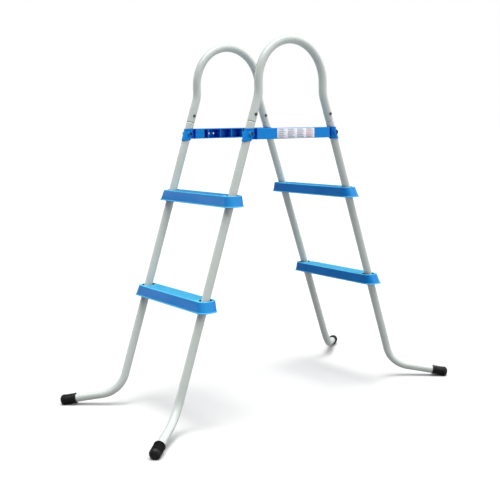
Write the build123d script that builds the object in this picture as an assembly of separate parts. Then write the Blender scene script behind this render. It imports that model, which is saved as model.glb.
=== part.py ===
from build123d import *

import os
from math import cos, radians, sin, tan

# A-frame pool ladder: two flights of two treads, joined at the top by two side bars and two handrails.
#
# Row frame: millimetres, +Z up, origin on the ground in the middle of the four feet. X runs across the
# pool wall, from the left flight (-X) to the right flight (+X). Y runs along the treads, from the near
# side frame (-Y) to the far side frame (+Y). Every side piece is drawn for the right or far side first
# and then mirrored, so the two flights and the two side frames match.

# ---- driving dimensions -------------------------------------------------------------------------
TUBE_R = 12.7  # one inch steel tube
TUBE_WALL = 1.2
LEAN = 19.0  # degrees between a leg and the vertical
SIDE_Y = 165.0  # from the middle plane to the tube axes of a side frame
STILE_X = 162.0  # from the middle plane to a leg's axis, at the top of the side bars

BAR_TOP = 875.0  # top of the side bars above the ground
BAR_HEIGHT = 33.0
TREAD_TOPS = {"lower": 380.0, "upper": 680.0}

# handrail hoop
HOOP_R = 127.0  # of the tube axis
HOOP_CENTRE = 137.0  # above the side bars
HOOP_NECK_R = 90.0  # the gentle bend from the hoop into the leg's line
SEAM = 21.0  # lower end of the handrail, above the side bars
JOINT_BOLT = 41.0  # above the side bars

# swaged top end of a leg, inside the handrail
NECK_GAP = 0.15
NECK_LENGTH = 55.0
SHOULDER = 5.2  # from the seam down to the full tube
SHOULDER_CONE = 2.6  # the lower part of it, where the tube narrows

# foot: the bent lower end of a leg
FOOT_CORNER_Z = 44.2  # where the leg's axis meets the foot's axis
FOOT_TURN = 41.0  # degrees from +X, seen from above
FOOT_SLOPE = 9.0  # degrees below the horizontal
FOOT_LENGTH = 199.0  # from that corner to the end of the cap
FOOT_BEND_R = 90.0

# rubber cap
CAP_LENGTH = 52.0
CAP_END = 5.0  # thickness of the closed end
CAP_BODY_R = 13.5
CAP_RING_R = 16.9
CAP_MOUTH_R = 17.5
CAP_NOSE_R = 12.0  # rounding of the nose
CAP_RINGS = 7
CAP_RING_PITCH = 6.1
CAP_RING_FOOT = 3.0  # width of a ring at its root
CAP_RING_CREST = 1.5
RUBBER_FIT = 0.05

# side bar
WEB_HALF = 144.5  # half the length of the raised web
WEB_OUT = 14.0  # web's outer face, beyond the tube axis
WEB_IN = -13.0  # web's open inner side
BAR_SKIN = 3.0
BAR_EDGE = 1.2  # rounding of the web's outer edges
POCKET_HALF = 110.0  # the ribbed pocket ends here, and a closed end block begins
BAR_RIB = 2.5
BAR_RIB_X = (-95.0, -45.0, 0.0, 45.0, 95.0)
NECK_HALF = 3.0  # half thickness of the neck between web and sleeve
SLEEVE_R = 14.4
SLEEVE_BEAD_R = 15.2
SLEEVE_BEAD = 2.6
SLEEVE_DROP = 4.0  # how far the sleeve reaches below the web
SLEEVE_FIT = 0.15
BOSS_R = 7.8
BOSS_REACH = 19.4  # boss faces, each side of the tube axis
BOSS_RECESS = 5.2
BOSS_RECESS_R = 5.7
BAR_BOLT_DEPTH = 16.5  # below the bar's top
ACCESSORY_HOLES_X = (-75.0, -57.0)  # on the far bar; the near bar is turned end for end
ACCESSORY_HOLE_R = 3.0

# label on the near bar's outer face
LABEL_X = (-69.0, 79.0)
LABEL_MARGIN = 1.6
LABEL_THICK = 0.35

# tread: a hollow moulding, open underneath
TREAD_OUT = 30.0  # top edge beyond the tube axis, away from the pool wall
TREAD_IN = 29.0  # top edge inside the tube axis
TREAD_HALF = 188.0
TREAD_CORNER = 22.0
TREAD_HEIGHT = 32.0
TREAD_FLARE_OUT = 8.0  # how far each side leans out over the height
TREAD_FLARE_IN = -2.0
TREAD_FLARE_END = 13.0
TREAD_SKIN = 3.0
TREAD_TOP_EDGE = 1.8
TREAD_LIP = 2.2
TREAD_LIP_HEIGHT = 3.0
TREAD_RIB = 2.0
TREAD_RIB_DEPTH = 20.0
TREAD_RIB_PITCH = 46.0
TREAD_CROSS_RIBS = 7
GRIP_PITCH = 8.0
GRIP_COUNT = 35
GRIP_WIDTH = 2.6
GRIP_HEIGHT = 0.6
GRIP_MARGIN = 6.0
HUB_R = 22.5
HUB_RECESS_R = 19.5
HUB_RECESS = 12.0
HUB_FIT = 0.25
SCREW_DEPTH = 17.0  # below the tread's top
SCREW_BOSS_R = 6.0

# fasteners
BOLT_R = 2.5
BOLT_HOLE_R = 2.7
HEX_FLATS = 8.0
HEAD_THICK = 3.0
NUT_THICK = 2.7
NUT_TAIL = 0.3  # thread showing past the nut
WASHER_R = 5.0
WASHER_THICK = 0.6
SCREW_R = 1.7
SCREW_FIT = 0.05
SCREW_HEAD_R = 2.6
SCREW_HEAD = 1.8
SCREW_SUNK = 2.0  # seat of the head, below the tread's inner face
SCREW_REACH = 6.0  # thread inside the leg tube

REACH = 400.0  # longer than any single cut

SIDES = {"near": -1, "far": 1}
FLIGHTS = {"left": -1, "right": 1}


# ---- geometry shared by the pieces ---------------------------------------------------------------
def stile_x(z):
    """Distance of a leg's axis from the middle plane at height z."""
    return STILE_X + tan(radians(LEAN)) * (BAR_TOP - z)


def stile_point(z):
    """Point on the far right leg's axis at height z."""
    return Vector(stile_x(z), SIDE_Y, z)


STILE_UP = Vector(-sin(radians(LEAN)), 0, cos(radians(LEAN)))
FOOT_DIR = Vector(
    cos(radians(FOOT_TURN)) * cos(radians(FOOT_SLOPE)),
    sin(radians(FOOT_TURN)) * cos(radians(FOOT_SLOPE)),
    -sin(radians(FOOT_SLOPE)),
)
FOOT_END = stile_point(FOOT_CORNER_Z) + FOOT_DIR * FOOT_LENGTH
SEAM_POINT = stile_point(BAR_TOP + SEAM)
TREAD_TUBE_Z = {level: top - SCREW_DEPTH for level, top in TREAD_TOPS.items()}


def placed(shape, side, flight):
    """Mirror a far right piece to its own side frame and flight."""
    if SIDES[side] < 0:
        shape = mirror(shape, about=Plane.XZ)
    if FLIGHTS[flight] < 0:
        shape = mirror(shape, about=Plane.YZ)
    return shape


def rod(start, end, radius):
    """Round bar between two points."""
    span = end - start
    return Plane(origin=start, z_dir=span) * Cylinder(
        radius, span.length, align=(Align.CENTER, Align.CENTER, Align.MIN)
    )


def rod_y(x, y_from, y_to, z, radius):
    """Round bar along Y."""
    return rod(Vector(x, y_from, z), Vector(x, y_to, z), radius)


def block(x, y, z):
    """Box between pairs of coordinates."""
    size = [abs(b - a) for a, b in (x, y, z)]
    middle = [(a + b) / 2 for a, b in (x, y, z)]
    return Pos(*middle) * Box(*size)


def swept_tube(path):
    """Tube of the frame's size along a path."""
    start = Plane(origin=path @ 0, z_dir=path % 0)
    ring = start * (Circle(TUBE_R) - Circle(TUBE_R - TUBE_WALL))
    return sweep(ring, path=path)


def turned(outline):
    """Solid of revolution about Z from an outline of (radius, height) points."""
    face = make_face(Polyline(*[(r, 0, h) for r, h in outline], close=True))
    return revolve(face, axis=Axis.Z)


# ---- steel tubes ---------------------------------------------------------------------------------
def handrail():
    """Far handrail: a hoop whose two ends run on in the line of the legs."""
    corner_z = BAR_TOP + (STILE_X - HOOP_R) / tan(radians(LEAN))
    spring_z = BAR_TOP + HOOP_CENTRE
    ends = []
    for flight in (-1, 1):
        points = [
            (flight * SEAM_POINT.X, SIDE_Y, SEAM_POINT.Z),
            (flight * HOOP_R, SIDE_Y, corner_z),
            (flight * HOOP_R, SIDE_Y, spring_z),
        ]
        if flight > 0:
            points.reverse()
        ends.append(FilletPolyline(*points, radius=HOOP_NECK_R))
    crown = ThreePointArc(
        (-HOOP_R, SIDE_Y, spring_z), (0, SIDE_Y, spring_z + HOOP_R), (HOOP_R, SIDE_Y, spring_z)
    )
    path = Wire(ends[0].edges() + [crown.edge()] + ends[1].edges())
    tube = swept_tube(path)
    hole_z = BAR_TOP + JOINT_BOLT
    for flight in (-1, 1):
        tube -= rod_y(flight * stile_x(hole_z), 0, REACH, hole_z, BOLT_HOLE_R)
    return tube


def leg():
    """Far right leg: swaged top end, straight run and splayed foot."""
    shoulder = SEAM_POINT - STILE_UP * SHOULDER
    path = FilletPolyline(
        shoulder, stile_point(FOOT_CORNER_Z), FOOT_END - FOOT_DIR * CAP_END, radius=FOOT_BEND_R
    )
    tube = swept_tube(Wire(path.edges()))
    bore = TUBE_R - TUBE_WALL
    neck_out = bore - NECK_GAP
    neck_in = neck_out - TUBE_WALL
    neck_top = SHOULDER + NECK_LENGTH
    outline = [
        (bore, 0), (TUBE_R, 0), (neck_out, SHOULDER_CONE),
        (neck_out, neck_top), (neck_in, neck_top), (neck_in, SHOULDER_CONE),
    ]
    tube += Plane(origin=shoulder, z_dir=STILE_UP) * turned(outline)
    for hole_z in (BAR_TOP + JOINT_BOLT, BAR_TOP - BAR_BOLT_DEPTH):
        tube -= rod_y(stile_x(hole_z), 0, REACH, hole_z, BOLT_HOLE_R)
    for hole_z in TREAD_TUBE_Z.values():
        axis_point = stile_point(hole_z)
        tube -= rod(axis_point, axis_point - Vector(2 * TUBE_R, 0, 0), SCREW_R + SCREW_FIT)
    return tube


# ---- rubber foot cap -----------------------------------------------------------------------------
def foot_cap():
    """Far right cap: ribbed rubber sleeve with a rounded nose, worn flat where it stands."""
    outline = [(0, 0), (CAP_BODY_R, 0)]
    for i in range(CAP_RINGS):
        middle = CAP_RING_FOOT / 2 + i * CAP_RING_PITCH
        crest = CAP_MOUTH_R if i == 0 else CAP_RING_R
        outline += [
            (CAP_BODY_R, middle - CAP_RING_FOOT / 2), (crest, middle - CAP_RING_CREST / 2),
            (crest, middle + CAP_RING_CREST / 2), (CAP_BODY_R, middle + CAP_RING_FOOT / 2),
        ]
    nose_root = CAP_LENGTH - CAP_NOSE_R
    ribbed = turned(outline[:1] + outline[2:] + [(CAP_BODY_R, nose_root), (0, nose_root)])
    nose = Pos(0, 0, nose_root) * Cylinder(
        CAP_RING_R, CAP_NOSE_R, align=(Align.CENTER, Align.CENTER, Align.MIN)
    )
    nose = fillet(nose.edges().sort_by(Axis.Z)[-1], CAP_NOSE_R - 1)
    cap = ribbed + nose
    cap -= Cylinder(
        TUBE_R + RUBBER_FIT, CAP_LENGTH - CAP_END, align=(Align.CENTER, Align.CENTER, Align.MIN)
    )
    cap = Plane(origin=FOOT_END - FOOT_DIR * CAP_LENGTH, z_dir=FOOT_DIR) * cap
    return cap - block((0, 2 * REACH), (0, 2 * REACH), (-REACH, 0))


# ---- moulded side bar ----------------------------------------------------------------------------
def bar_end(flight):
    """Sleeve, neck and bolt boss at one end of the far bar."""
    low = BAR_TOP - BAR_HEIGHT - SLEEVE_DROP
    axis = [Vector(flight * stile_x(z), SIDE_Y, z) for z in (low - HUB_R, BAR_TOP + HUB_R)]
    sleeve = rod(axis[0], axis[1], SLEEVE_R)
    bead = rod(axis[0], axis[1], SLEEVE_BEAD_R)
    width = (flight * (WEB_HALF - BAR_SKIN), flight * REACH)
    depth = (SIDE_Y - REACH, SIDE_Y + REACH)
    end = sleeve & block(width, depth, (low, BAR_TOP))
    for z in ((low, low + SLEEVE_BEAD), (BAR_TOP - SLEEVE_BEAD, BAR_TOP)):
        end += bead & block(width, depth, z)
    end += block(
        (flight * (WEB_HALF - BAR_SKIN), flight * stile_x(BAR_TOP)),
        (SIDE_Y - NECK_HALF, SIDE_Y + NECK_HALF),
        (BAR_TOP - BAR_HEIGHT, BAR_TOP),
    )
    bolt_z = BAR_TOP - BAR_BOLT_DEPTH
    bolt_x = flight * stile_x(bolt_z)
    end += rod_y(bolt_x, SIDE_Y - BOSS_REACH, SIDE_Y + BOSS_REACH, bolt_z, BOSS_R)
    for face in (-1, 1):
        tip = SIDE_Y + face * BOSS_REACH
        end -= rod_y(bolt_x, tip - face * BOSS_RECESS, tip + face * BOSS_RECESS, bolt_z, BOSS_RECESS_R)
    end -= rod_y(bolt_x, 0, REACH, bolt_z, BOLT_HOLE_R)
    return end, rod(axis[0], axis[1], TUBE_R + SLEEVE_FIT)


def side_bar():
    """Far side bar: a ribbed channel, open towards the treads, with a sleeve for a leg at each end."""
    bottom = BAR_TOP - BAR_HEIGHT
    y_open, y_face = SIDE_Y + WEB_IN, SIDE_Y + WEB_OUT
    bar = block((-WEB_HALF, WEB_HALF), (y_open, y_face), (bottom, BAR_TOP))
    outer_edges = bar.edges().filter_by_position(Axis.Y, y_face - 0.1, y_face + 0.1)
    bar = fillet(outer_edges, BAR_EDGE)
    inside_z = (bottom + BAR_SKIN, BAR_TOP - BAR_SKIN)
    bar -= block((-POCKET_HALF, POCKET_HALF), (y_open - 1, y_face - BAR_SKIN), inside_z)
    for x in BAR_RIB_X:
        bar += block((x - BAR_RIB / 2, x + BAR_RIB / 2), (y_open, y_face - BAR_SKIN), inside_z)
    for flight in FLIGHTS.values():
        bar -= block(
            (flight * (POCKET_HALF + BAR_SKIN), flight * (WEB_HALF - BAR_SKIN)),
            (y_open + BAR_SKIN, y_face - BAR_SKIN),
            (bottom - 1, BAR_TOP - BAR_SKIN),
        )
        end, bore = bar_end(flight)
        bar = bar + end - bore
    for x in ACCESSORY_HOLES_X:
        bar -= rod_y(x, y_face - 2 * BAR_SKIN, y_face + 1, BAR_TOP - BAR_BOLT_DEPTH, ACCESSORY_HOLE_R)
    return bar


def label():
    """Thin panel stuck on the near bar's outer face."""
    face = -(SIDE_Y + WEB_OUT)
    z = (BAR_TOP - BAR_HEIGHT + LABEL_MARGIN, BAR_TOP - LABEL_MARGIN)
    return block(LABEL_X, (face - LABEL_THICK, face), z)


# ---- moulded treads ------------------------------------------------------------------------------
def tread_shell(top, inset, head):
    """Tapered block of a tread's outline, drawn in by inset and starting head below the top."""
    axis_x = stile_x(top)
    sections = []
    for drop in (head, TREAD_HEIGHT):
        share = drop / TREAD_HEIGHT
        x_in = axis_x - TREAD_IN - TREAD_FLARE_IN * share + inset
        x_out = axis_x + TREAD_OUT + TREAD_FLARE_OUT * share - inset
        half = TREAD_HALF + TREAD_FLARE_END * share - inset
        corner = TREAD_CORNER + (TREAD_FLARE_END - TREAD_FLARE_OUT) * share - inset
        outline = RectangleRounded(x_out - x_in, 2 * half, corner)
        sections.append(Pos((x_in + x_out) / 2, 0, top - drop) * outline)
    return loft(sections)


def tread_lip(top):
    """Small flared lip round a tread's lower edge."""
    axis_x = stile_x(top)
    x_in = axis_x - TREAD_IN - TREAD_FLARE_IN - TREAD_LIP
    x_out = axis_x + TREAD_OUT + TREAD_FLARE_OUT + TREAD_LIP
    half = TREAD_HALF + TREAD_FLARE_END + TREAD_LIP
    corner = TREAD_CORNER + TREAD_FLARE_END - TREAD_FLARE_OUT + TREAD_LIP
    plate = RectangleRounded(x_out - x_in, 2 * half, corner)
    lip = extrude(Pos((x_in + x_out) / 2, 0, top - TREAD_HEIGHT) * plate, TREAD_LIP_HEIGHT)
    upper_edges = lip.faces().sort_by(Axis.Z)[-1].edges()
    return chamfer(upper_edges, TREAD_LIP - 0.2)


def screw_seat_x(top):
    """Where the screw heads of a right tread sit, sunk in its inner face."""
    return stile_x(top) - TREAD_IN - TREAD_FLARE_IN * SCREW_DEPTH / TREAD_HEIGHT + SCREW_SUNK


def tread(top):
    """Right tread: hollow shell, ribs, grip ridges, and a hub round each leg."""
    axis_x = stile_x(top)
    bottom = top - TREAD_HEIGHT
    whole = tread_shell(top, 0, 0)
    whole = fillet(whole.faces().sort_by(Axis.Z)[-1].edges(), TREAD_TOP_EDGE)
    hollow = tread_shell(top, TREAD_SKIN, TREAD_SKIN)
    body = whole + tread_lip(top) - hollow

    middle_x = axis_x + (TREAD_OUT - TREAD_IN) / 2
    rib_z = (top - TREAD_RIB_DEPTH, top - 1)
    ribs = block((middle_x - TREAD_RIB / 2, middle_x + TREAD_RIB / 2), (-TREAD_HALF, TREAD_HALF), rib_z)
    for i in range(TREAD_CROSS_RIBS):
        y = (i - (TREAD_CROSS_RIBS - 1) / 2) * TREAD_RIB_PITCH
        ribs += block((axis_x - REACH / 4, axis_x + REACH / 4), (y - TREAD_RIB / 2, y + TREAD_RIB / 2), rib_z)

    screw_z = top - SCREW_DEPTH
    cuts = []
    for side in SIDES.values():
        y = side * SIDE_Y
        low, high = [Vector(stile_x(z), y, z) for z in (bottom - HUB_R, top + HUB_R)]
        floor = Vector(stile_x(top - HUB_RECESS), y, top - HUB_RECESS)
        screw_from = Vector(axis_x - REACH / 4, y, screw_z)
        screw_seat = Vector(screw_seat_x(top), y, screw_z)
        screw_to = Vector(stile_x(screw_z), y, screw_z)
        ribs += rod(low, high, HUB_R)
        ribs += rod(screw_from, screw_to, SCREW_BOSS_R)
        cuts.append(rod(floor, high, HUB_RECESS_R))
        cuts.append(rod(low, high, TUBE_R + HUB_FIT))
        cuts.append(rod(screw_from, screw_to, SCREW_R + SCREW_FIT))
        cuts.append(rod(screw_from, screw_seat, SCREW_HEAD_R + 2 * SCREW_FIT))
    body += ribs & whole

    ridge_x = (axis_x - TREAD_IN + GRIP_MARGIN, axis_x + TREAD_OUT - GRIP_MARGIN)
    for i in range(GRIP_COUNT):
        y = (i - (GRIP_COUNT - 1) / 2) * GRIP_PITCH
        body += block(ridge_x, (y - GRIP_WIDTH / 2, y + GRIP_WIDTH / 2), (top - 1, top + GRIP_HEIGHT))
    for cut in cuts:
        body -= cut
    return body


# ---- fasteners -----------------------------------------------------------------------------------
def hexagon(thick):
    """Hexagonal block standing on the origin."""
    return extrude(RegularPolygon(HEX_FLATS / 2, 6, major_radius=False), thick)


def bolt_seats(bolt_z, seat):
    """Planes that face out of the far right leg on both sides, at +-seat from its axis."""
    x = stile_x(bolt_z)
    outward = Plane(origin=(x, SIDE_Y + seat, bolt_z), z_dir=(0, 1, 0))
    inward = Plane(origin=(x, SIDE_Y - seat, bolt_z), z_dir=(0, -1, 0))
    return outward, inward


def through_bolt(bolt_z, seat):
    """Bolt and nut across the far right leg, seated at +-seat from its axis."""
    x = stile_x(bolt_z)
    outward, inward = bolt_seats(bolt_z, seat)
    shank_end = SIDE_Y - seat - NUT_THICK - NUT_TAIL
    bolt = outward * hexagon(HEAD_THICK) + rod_y(x, shank_end, SIDE_Y + seat + 1, bolt_z, BOLT_R)
    nut = inward * hexagon(NUT_THICK) - rod_y(x, 0, REACH, bolt_z, BOLT_R)
    return bolt, nut


def bolt_washer():
    """Plain washer standing on the origin."""
    return extrude(Circle(WASHER_R) - Circle(BOLT_HOLE_R), WASHER_THICK)


def tread_screw(top):
    """Screw through the tread's inner face into the far right leg."""
    z = top - SCREW_DEPTH
    seat_x = screw_seat_x(top)
    tip_x = stile_x(z) - TUBE_R + TUBE_WALL + SCREW_REACH
    seat = Plane(origin=(seat_x, SIDE_Y, z), z_dir=(-1, 0, 0))
    head = seat * extrude(Circle(SCREW_HEAD_R), SCREW_HEAD)
    head = fillet(head.edges().sort_by(Axis.X)[0], SCREW_HEAD * 0.6)
    return head + rod(Vector(seat_x - 1, SIDE_Y, z), Vector(tip_x, SIDE_Y, z), SCREW_R)


# ---- assembly ------------------------------------------------------------------------------------
def build_nodes():
    """Every node of the ladder: name to one solid, or a list of identical solids."""
    far_rail, far_bar = handrail(), side_bar()
    right_leg, right_cap = leg(), foot_cap()
    nodes = {
        "handrail_far": far_rail,
        "handrail_near": mirror(far_rail, about=Plane.XZ),
        "side_bar_far": far_bar,
        "side_bar_near": Rot(0, 0, 180) * far_bar,
        "label_panel": label(),
    }
    for side in SIDES:
        for flight in FLIGHTS:
            nodes[f"leg_{side}_{flight}"] = placed(right_leg, side, flight)
            nodes[f"foot_cap_{side}_{flight}"] = placed(right_cap, side, flight)
    for level, top in TREAD_TOPS.items():
        right_tread = tread(top)
        for flight in FLIGHTS:
            nodes[f"tread_{level}_{flight}"] = placed(right_tread, "far", flight)

    joint = through_bolt(BAR_TOP + JOINT_BOLT, TUBE_R)
    bar_seat = BOSS_REACH - BOSS_RECESS
    bar = through_bolt(BAR_TOP - BAR_BOLT_DEPTH, bar_seat + WASHER_THICK)
    boss_seats = bolt_seats(BAR_TOP - BAR_BOLT_DEPTH, bar_seat)
    groups = {
        "joint_bolts": [joint[0]],
        "joint_nuts": [joint[1]],
        "bar_bolts": [bar[0]],
        "bar_nuts": [bar[1]],
        "bar_washers": [seat * bolt_washer() for seat in boss_seats],
        "tread_screws": [tread_screw(top) for top in TREAD_TOPS.values()],
    }
    for name, pieces in groups.items():
        nodes[name] = [
            placed(piece, side, flight) for piece in pieces for side in SIDES for flight in FLIGHTS
        ]
    return nodes


def write_steps(nodes):
    """Write one STEP file for each node."""
    os.makedirs("parts", exist_ok=True)
    for name, shape in nodes.items():
        pieces = shape if isinstance(shape, list) else [shape]
        solids = [solid for piece in pieces for solid in piece.solids()]
        shape = solids[0] if len(solids) == 1 else Compound(solids)
        export_step(shape, f"parts/{name}.step")
        print(f"{name:24s} solids {len(solids):2d}  volume {sum(s.volume for s in solids):12.1f}")


write_steps(build_nodes())
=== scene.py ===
"""Looks of an A-frame pool ladder: powder-coated tubes, blue mouldings, rubber feet, dark hardware, a label.

Everything is in metres in the ladder's own frame: +Z up, X across the pool wall, Y along the treads.
"""

import logging
import random
from collections.abc import Callable
from dataclasses import dataclass
from enum import Enum
from math import cos, pi, radians, sin, sqrt, tan
from typing import Any

import bmesh
import bpy
from mathutils import Matrix, Vector


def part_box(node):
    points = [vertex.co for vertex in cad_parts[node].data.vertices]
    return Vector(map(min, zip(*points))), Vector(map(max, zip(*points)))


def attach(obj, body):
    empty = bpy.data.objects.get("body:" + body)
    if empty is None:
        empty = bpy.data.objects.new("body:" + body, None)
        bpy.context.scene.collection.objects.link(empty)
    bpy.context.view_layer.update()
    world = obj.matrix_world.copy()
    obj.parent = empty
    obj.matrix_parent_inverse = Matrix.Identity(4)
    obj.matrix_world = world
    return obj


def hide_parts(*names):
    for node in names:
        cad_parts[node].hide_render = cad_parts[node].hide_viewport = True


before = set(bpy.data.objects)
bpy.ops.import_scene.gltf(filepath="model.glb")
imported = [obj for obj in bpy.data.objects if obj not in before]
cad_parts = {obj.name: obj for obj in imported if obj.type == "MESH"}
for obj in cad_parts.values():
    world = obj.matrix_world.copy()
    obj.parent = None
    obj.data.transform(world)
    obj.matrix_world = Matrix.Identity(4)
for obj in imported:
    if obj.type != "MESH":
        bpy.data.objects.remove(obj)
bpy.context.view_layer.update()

log = logging.getLogger("pool_ladder")

Node = bpy.types.Node
Socket = bpy.types.NodeSocket
BMesh = bmesh.types.BMesh
Colour = tuple[float, float, float, float]
Triple = tuple[float, float, float]
Span = tuple[float, float]
Source = Socket | float | Colour | Triple
Extent = float | Callable[[float], float]  # a height or radius, or what gives it from an angle about Z

MM = 0.001
SHARP_ANGLE = radians(38)  # faces that turn by more than this meet in a crisp edge
WELD = 0.01 * MM  # vertices nearer than this are one
PLACE_DIGITS = 6  # decimals of a metre that tell two places apart
ORDER_DIGITS = 4  # decimals of a metre that put solids in order
SOFT_SHARE = 0.4  # of a plate's thickness, rounded off at its front edge


class Slot(Enum):
    """Material slot names for the made pieces; nothing in this script uses them."""

    CAP = "cap_rubber"
    LABEL = "label_film"
    HARDWARE = "dark_fastener"


class Named(Enum):
    """An option whose name is also a word in the names of nodes and pieces."""

    @property
    def word(self) -> str:
        """The option's word in a name."""
        return self.name.lower()


class Side(Named):
    """The two side frames, by the sign of Y."""

    NEAR = -1
    FAR = 1


class Flight(Named):
    """The two flights of treads, by the sign of X."""

    LEFT = -1
    RIGHT = 1


class Level(Named):
    """The two treads of a flight, in order of height."""

    LOWER = 0
    UPPER = 1


# ---- wiring nodes ----
class Sheet:
    """A node tree being wired, with short calls for the nodes that the finishes use most."""

    def __init__(self, tree: bpy.types.NodeTree) -> None:
        """Work on a material's or a group's node tree."""
        self.tree = tree

    def add(self, kind: str, feeds: dict[str | int, Source] | None = None, **values: Any) -> Node:
        """Add a node.

        Args:
            kind: Blender's type name of the node.
            feeds: What its inputs are fed with, by name or number.
            **values: Properties of the node, by name.

        Returns:
            The new node.
        """
        node = self.tree.nodes.new(kind)
        for name, value in values.items():
            setattr(node, name, value)
        for key, source in (feeds or {}).items():
            self.feed(node.inputs[key], source)
        return node

    def feed(self, socket: Socket, source: Source) -> None:
        """Link a source into a socket, or set the socket's own value.

        Args:
            socket: The input to feed.
            source: An output socket, a number or a colour.
        """
        if isinstance(source, Socket):
            self.tree.links.new(source, socket)
        else:
            socket.default_value = source

    def position(self) -> Socket:
        """Place on the piece, in metres."""
        return self.add("ShaderNodeTexCoord").outputs["Object"]

    def stretched(self, scale: Triple) -> Socket:
        """Place on the piece, times a factor along each axis."""
        return self.add("ShaderNodeMapping", {"Vector": self.position(), "Scale": scale}).outputs["Vector"]

    def height(self, vector: Socket) -> Socket:
        """Z of a vector."""
        return self.add("ShaderNodeSeparateXYZ", {"Vector": vector}).outputs["Z"]

    def along(self, vector: Socket, other: Source) -> Socket:
        """Dot product of two vectors."""
        node = self.add("ShaderNodeVectorMath", {0: vector, 1: other}, operation="DOT_PRODUCT")
        return node.outputs["Value"]

    def math(self, operation: str, first: Source, *others: Source, clamp: bool = True) -> Socket:
        """Join values with one operation.

        Args:
            operation: Blender's name of the operation.
            first: The first value.
            *others: The values after it, in order.
            clamp: True to keep each step's result from 0 to 1.

        Returns:
            The result.
        """
        for other in others:
            node = self.add("ShaderNodeMath", {0: first, 1: other}, operation=operation, use_clamp=clamp)
            first = node.outputs[0]
        return first

    def mix_values(self, share: Source, first: Source, second: Source) -> Socket:
        """Blend two values, from all of the first at share 0 to all of the second at 1."""
        return self.add("ShaderNodeMix", {0: share, 2: first, 3: second}, data_type="FLOAT").outputs[0]

    def mix(self, share: Source, first: Source, second: Source) -> Socket:
        """Blend two colours, from all of the first at share 0 to all of the second at 1."""
        return self.add("ShaderNodeMix", {0: share, 6: first, 7: second}, data_type="RGBA").outputs[2]

    def remap(self, value: Source, low: Source, high: Source, to_low: Source = 0.0,
              to_high: Source = 1.0) -> Socket:
        """Map the range from low to high onto the range from to_low to to_high, with a smooth step."""
        ends = {"Value": value, "From Min": low, "From Max": high, "To Min": to_low, "To Max": to_high}
        return self.add("ShaderNodeMapRange", ends, interpolation_type="SMOOTHSTEP").outputs["Result"]

    def noise(self, place: Socket, scale: Source, detail: float = 2.0, rough: float = 0.5) -> Socket:
        """Cloudy noise near 0.5, of about scale cycles per metre, with detail finer layers added."""
        look = {"Vector": place, "Scale": scale, "Detail": detail, "Roughness": rough}
        return self.add("ShaderNodeTexNoise", look).outputs[0]

    def use(self, effect: type["Effect"], **values: Source) -> Node:
        """Place a shared effect.

        Args:
            effect: Which effect.
            **values: Its inputs, with underscores for spaces.

        Returns:
            The group node.
        """
        node = self.add("ShaderNodeGroup", node_tree=effect.group())
        for name, source in values.items():
            self.feed(node.inputs[name.replace("_", " ").title()], source)
        return node

    def mask(self, effect: type["Effect"], **values: Source) -> Socket:
        """Mask that a shared effect puts out, placed as by use."""
        return self.use(effect, **values).outputs["Mask"]

    def grain(self, scale: float, tooth: float) -> Socket:
        """Height of the shared surface grain."""
        return self.use(SurfaceGrain, scale=scale, tooth=tooth).outputs["Height"]


class Surface(Sheet):
    """A material being wired: its node tree and its Principled BSDF."""

    def __init__(self, title: str) -> None:
        """Make the material.

        Args:
            title: The material's name.
        """
        self.material = bpy.data.materials.new(title)
        self.material.use_nodes = True
        super().__init__(self.material.node_tree)
        self.shader = self.tree.nodes["Principled BSDF"]

    def put(self, name: str, source: Source) -> None:
        """Feed one of the shader's inputs, or set its own value."""
        self.feed(self.shader.inputs[name], source)

    def relief(self, height: Source, depth: float, strength: float) -> None:
        """Bump the normal by a height from 0 to 1, where 1 stands for depth in metres."""
        relief = {"Strength": strength, "Distance": depth, "Height": height}
        self.put("Normal", self.add("ShaderNodeBump", relief).outputs["Normal"])


# ---- effects that several finishes share ----
class Effect(Sheet):
    """A shader node group, built once. Subclasses name its sockets and wire its inside."""

    title: str
    inputs: dict[str, float | Colour]
    outputs: dict[str, str] = {"Mask": "NodeSocketFloat"}

    def __init__(self, tree: bpy.types.NodeTree) -> None:
        """Work inside the tree of the group."""
        super().__init__(tree)
        self.given = self.add("NodeGroupInput").outputs

    @classmethod
    def group(cls) -> bpy.types.NodeTree:
        """The group's tree, made at its first use.

        Returns:
            The node tree.
        """
        found = bpy.data.node_groups.get(cls.title)
        if found is not None:
            return found
        tree = bpy.data.node_groups.new(cls.title, "ShaderNodeTree")
        for name, default in cls.inputs.items():
            kind = "NodeSocketFloat" if isinstance(default, float) else "NodeSocketColor"
            socket = tree.interface.new_socket(name=name, in_out="INPUT", socket_type=kind)
            socket.default_value = default
        for name, kind in cls.outputs.items():
            tree.interface.new_socket(name=name, in_out="OUTPUT", socket_type=kind)
        inside = cls(tree)
        end = inside.add("NodeGroupOutput")
        for name, source in inside.wire().items():
            inside.feed(end.inputs[name], source)
        return tree

    def wire(self) -> dict[str, Socket]:
        """Wire the inside of the group, and say which socket feeds each output."""
        raise NotImplementedError


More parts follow.
